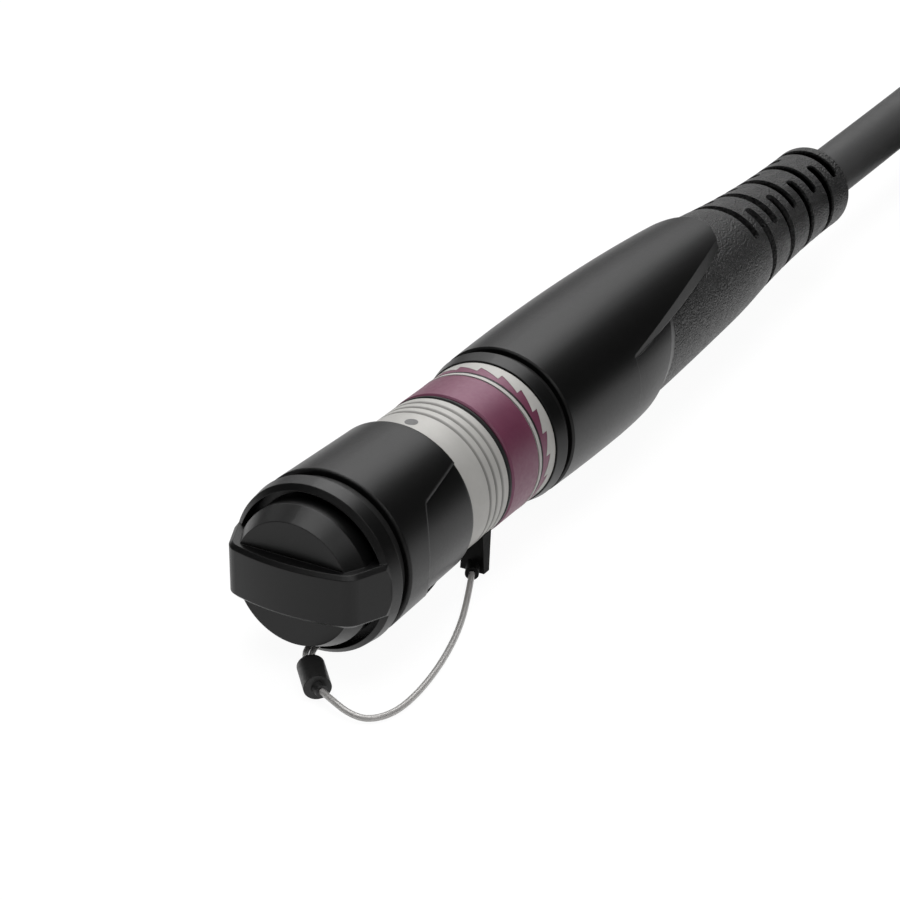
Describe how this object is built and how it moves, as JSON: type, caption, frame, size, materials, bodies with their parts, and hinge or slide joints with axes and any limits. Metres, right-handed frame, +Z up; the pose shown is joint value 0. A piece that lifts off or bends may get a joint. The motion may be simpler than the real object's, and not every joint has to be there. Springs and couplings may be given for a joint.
{
  "type": "fibre optic cable",
  "caption": "Fibre optic camera cable with round plugs, tethered dust caps, a purple coupling ring, slotted bend-relief boots and the spare cable wound in a tied coil.",
  "frame": {"origin": "on the floor under the middle of the near plug's length", "axes": "+X along the near plug from its cap to its cable, +Z up through the index dot"},
  "size_m": [0.3271, 0.1479, 0.0278],
  "materials": {
    "black_plastic": "smooth satin black moulding",
    "boot_rubber": "spark-eroded matt black",
    "seal_rubber": "matt black",
    "pale_metal": "pale grey satin coating",
    "purple_paint": "satin dark purple",
    "dot_grey": "grey paint fill",
    "coated_wire": "pale grey plastic-coated wire",
    "ferrule_black": "black moulding",
    "insert_plastic": "dark grey moulding",
    "steel": "turned",
    "contact_brass": "plated",
    "fibre_buffer": "buffer coating",
    "lead_jacket": "insulation",
    "cable_jacket": "matt black jacket",
    "tie_fabric": "black hook-and-loop strap"
  },
  "bodies": {
    "plug_and_cable": {"tether_cord": "coated_wire", "tether_clip": "ferrule_black", "plug_shell": "pale_metal", "index_dot": "dot_grey", "contact_insert": "insert_plastic", "lens_barrels": "steel", "power_contacts": "contact_brass", "guide_pins": "steel", "optical_fibres": "fibre_buffer", "power_leads": "lead_jacket", "shell_seal": "seal_rubber", "disc_spring": "steel", "collar": "black_plastic", "housing_seal": "seal_rubber", "housing": "black_plastic", "boot": "boot_rubber", "cable_clamp": "insert_plastic", "crimp_sleeve": "contact_brass", "cable_end": "cable_jacket", "cable_run": "cable_jacket", "far_run": "cable_jacket", "cable_coil": "cable_jacket", "coil_tie": "tie_fabric", "far_tether_cord": "coated_wire", "far_tether_clip": "ferrule_black", "far_plug_shell": "pale_metal", "far_index_dot": "dot_grey", "far_contact_insert": "insert_plastic", "far_lens_barrels": "steel", "far_power_contacts": "contact_brass", "far_guide_pins": "steel", "far_shell_seal": "seal_rubber", "far_collar": "black_plastic", "far_housing_seal": "seal_rubber", "far_housing": "black_plastic", "far_boot": "boot_rubber", "far_cable_end": "cable_jacket"},
    "cap": {"cap_sleeve": "black_plastic", "cap_knob": "black_plastic", "cap_groove_seal": "seal_rubber", "cap_gasket": "seal_rubber", "tether_legs": "coated_wire", "tether_ferrule": "ferrule_black"},
    "coupling_ring": {"ring_carrier": "pale_metal", "colour_band": "purple_paint", "slot_band": "seal_rubber", "tooth_band": "purple_paint", "lock_ring": "pale_metal"},
    "far_cap": {"far_cap_sleeve": "black_plastic", "far_cap_knob": "black_plastic", "far_cap_groove_seal": "seal_rubber", "far_cap_gasket": "seal_rubber", "far_tether_legs": "coated_wire", "far_tether_ferrule": "ferrule_black"},
    "far_coupling_ring": {"far_ring_carrier": "pale_metal", "far_colour_band": "purple_paint", "far_slot_band": "seal_rubber", "far_tooth_band": "purple_paint", "far_lock_ring": "pale_metal"}
  },
  "joints": [
    {"name": "cap_pull", "type": "slide", "parent": "plug_and_cable", "child": "cap", "axis": [-1, 0, 0], "range_m": [0, 0.0165], "deforming": ["tether_cord"]},
    {"name": "coupling_turn", "type": "hinge", "parent": "plug_and_cable", "child": "coupling_ring", "pos_m": [-0.04, 0, 0.0139], "axis": [1, 0, 0], "range_deg": [0, 90]},
    {"name": "far_cap_pull", "type": "slide", "parent": "plug_and_cable", "child": "far_cap", "axis": [-1, 0, 0], "range_m": [0, 0.0165], "deforming": ["far_tether_cord"]},
    {"name": "far_coupling_turn", "type": "hinge", "parent": "plug_and_cable", "child": "far_coupling_ring", "pos_m": [-0.04, -0.1136, 0.0139], "axis": [1, 0, 0], "range_deg": [0, 90]}
  ]
}
